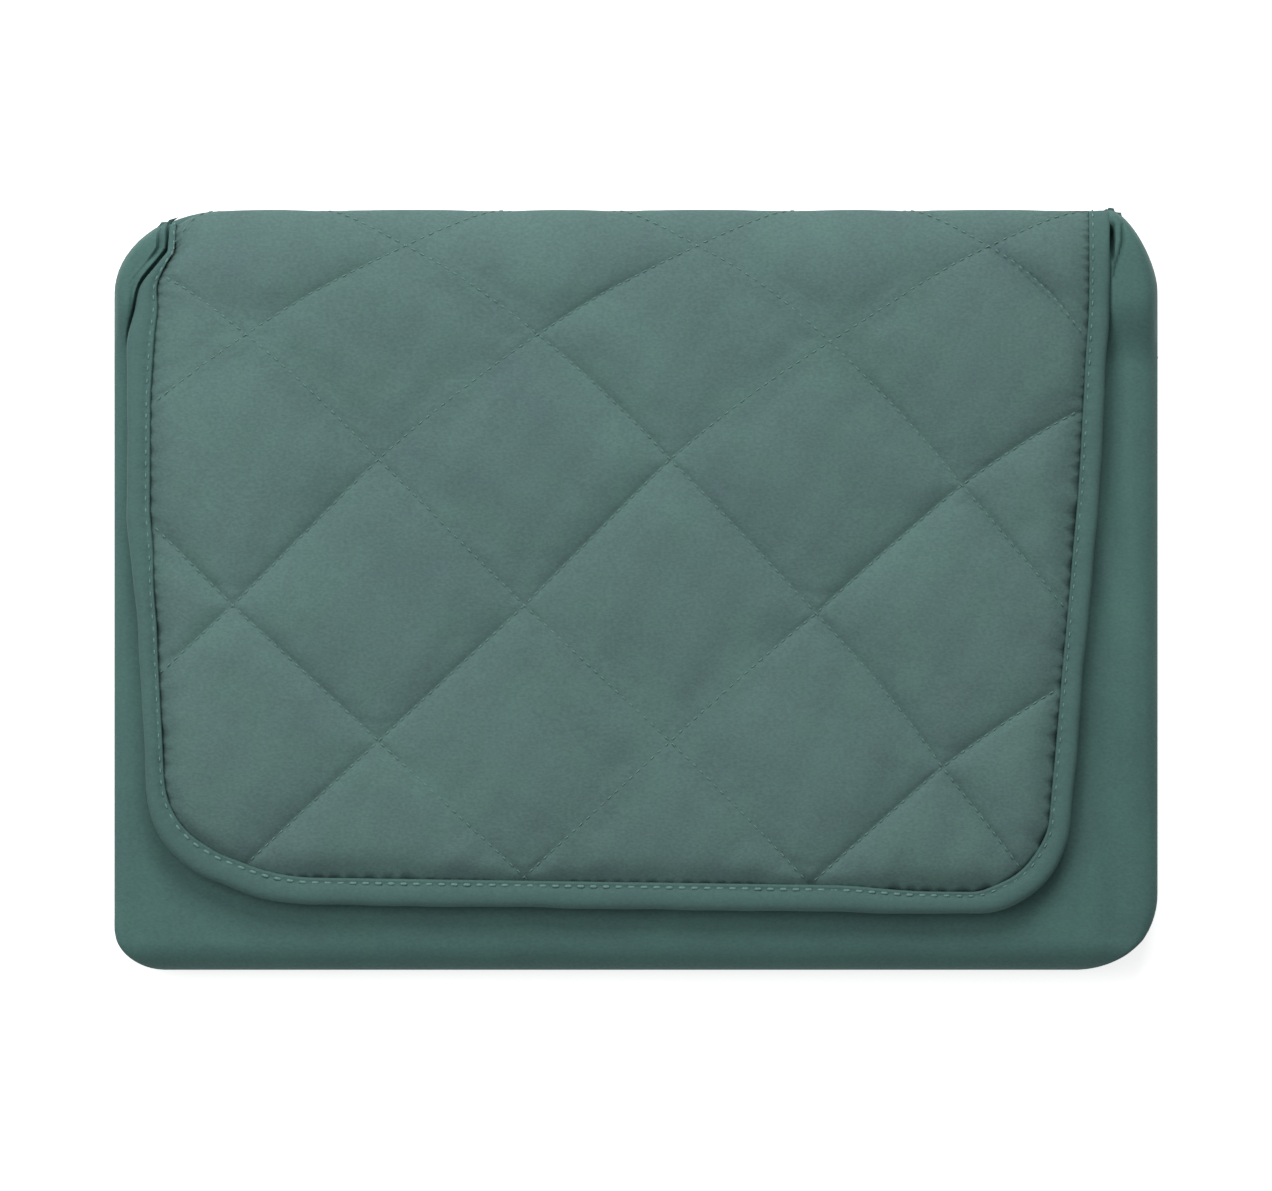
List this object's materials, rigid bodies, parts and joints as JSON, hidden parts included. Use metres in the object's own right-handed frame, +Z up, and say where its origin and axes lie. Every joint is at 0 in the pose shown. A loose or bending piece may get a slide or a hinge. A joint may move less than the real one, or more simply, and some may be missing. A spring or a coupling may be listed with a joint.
{
  "type": "changing pad",
  "caption": "Quilted travel changing pad folded in three, with a bound flap, plain hemmed panels, padded folds and a hook-and-loop closure.",
  "frame": {"origin": "bottom centre of the folded pad, on the surface that it lies on", "axes": "+X along the pad's longer side, +Y towards the fold that the flap hangs from, +Z up through the folded layers"},
  "size_m": [0.323, 0.2356, 0.0286],
  "materials": {
    "face_cloth": "matte",
    "backing_cloth": "matte",
    "binding_tape": "matte",
    "wadding": "matte",
    "film": "satin",
    "closure_tape": "matte"
  },
  "bodies": {
    "back_panel": {"back_backing": "backing_cloth", "back_film": "film", "back_wadding": "wadding", "back_face": "face_cloth", "bottom_fold_backing": "backing_cloth", "bottom_fold_film": "film", "bottom_fold_wadding": "wadding", "bottom_fold_face": "face_cloth"},
    "centre_panel": {"centre_backing": "backing_cloth", "centre_film": "film", "centre_wadding": "wadding", "centre_face": "face_cloth", "top_fold_backing": "backing_cloth", "top_fold_film": "film", "top_fold_wadding": "wadding", "top_fold_face": "face_cloth", "loop_patch": "closure_tape"},
    "flap": {"flap_backing": "backing_cloth", "flap_film": "film", "flap_wadding": "wadding", "flap_face": "face_cloth", "flap_binding": "binding_tape", "hook_patch": "closure_tape"}
  },
  "joints": [
    {"name": "base_fold", "type": "hinge", "parent": "back_panel", "child": "centre_panel", "pos_m": [0, -0.1086, 0.0092], "axis": [1, 0, 0], "range_deg": [0, 180], "deforming": ["bottom_fold_backing", "bottom_fold_film", "bottom_fold_wadding", "bottom_fold_face"]},
    {"name": "flap_fold", "type": "hinge", "parent": "centre_panel", "child": "flap", "pos_m": [0, 0.1082, 0.019], "axis": [-1, 0, 0], "range_deg": [0, 180], "deforming": ["top_fold_backing", "top_fold_film", "top_fold_wadding", "top_fold_face"]}
  ]
}
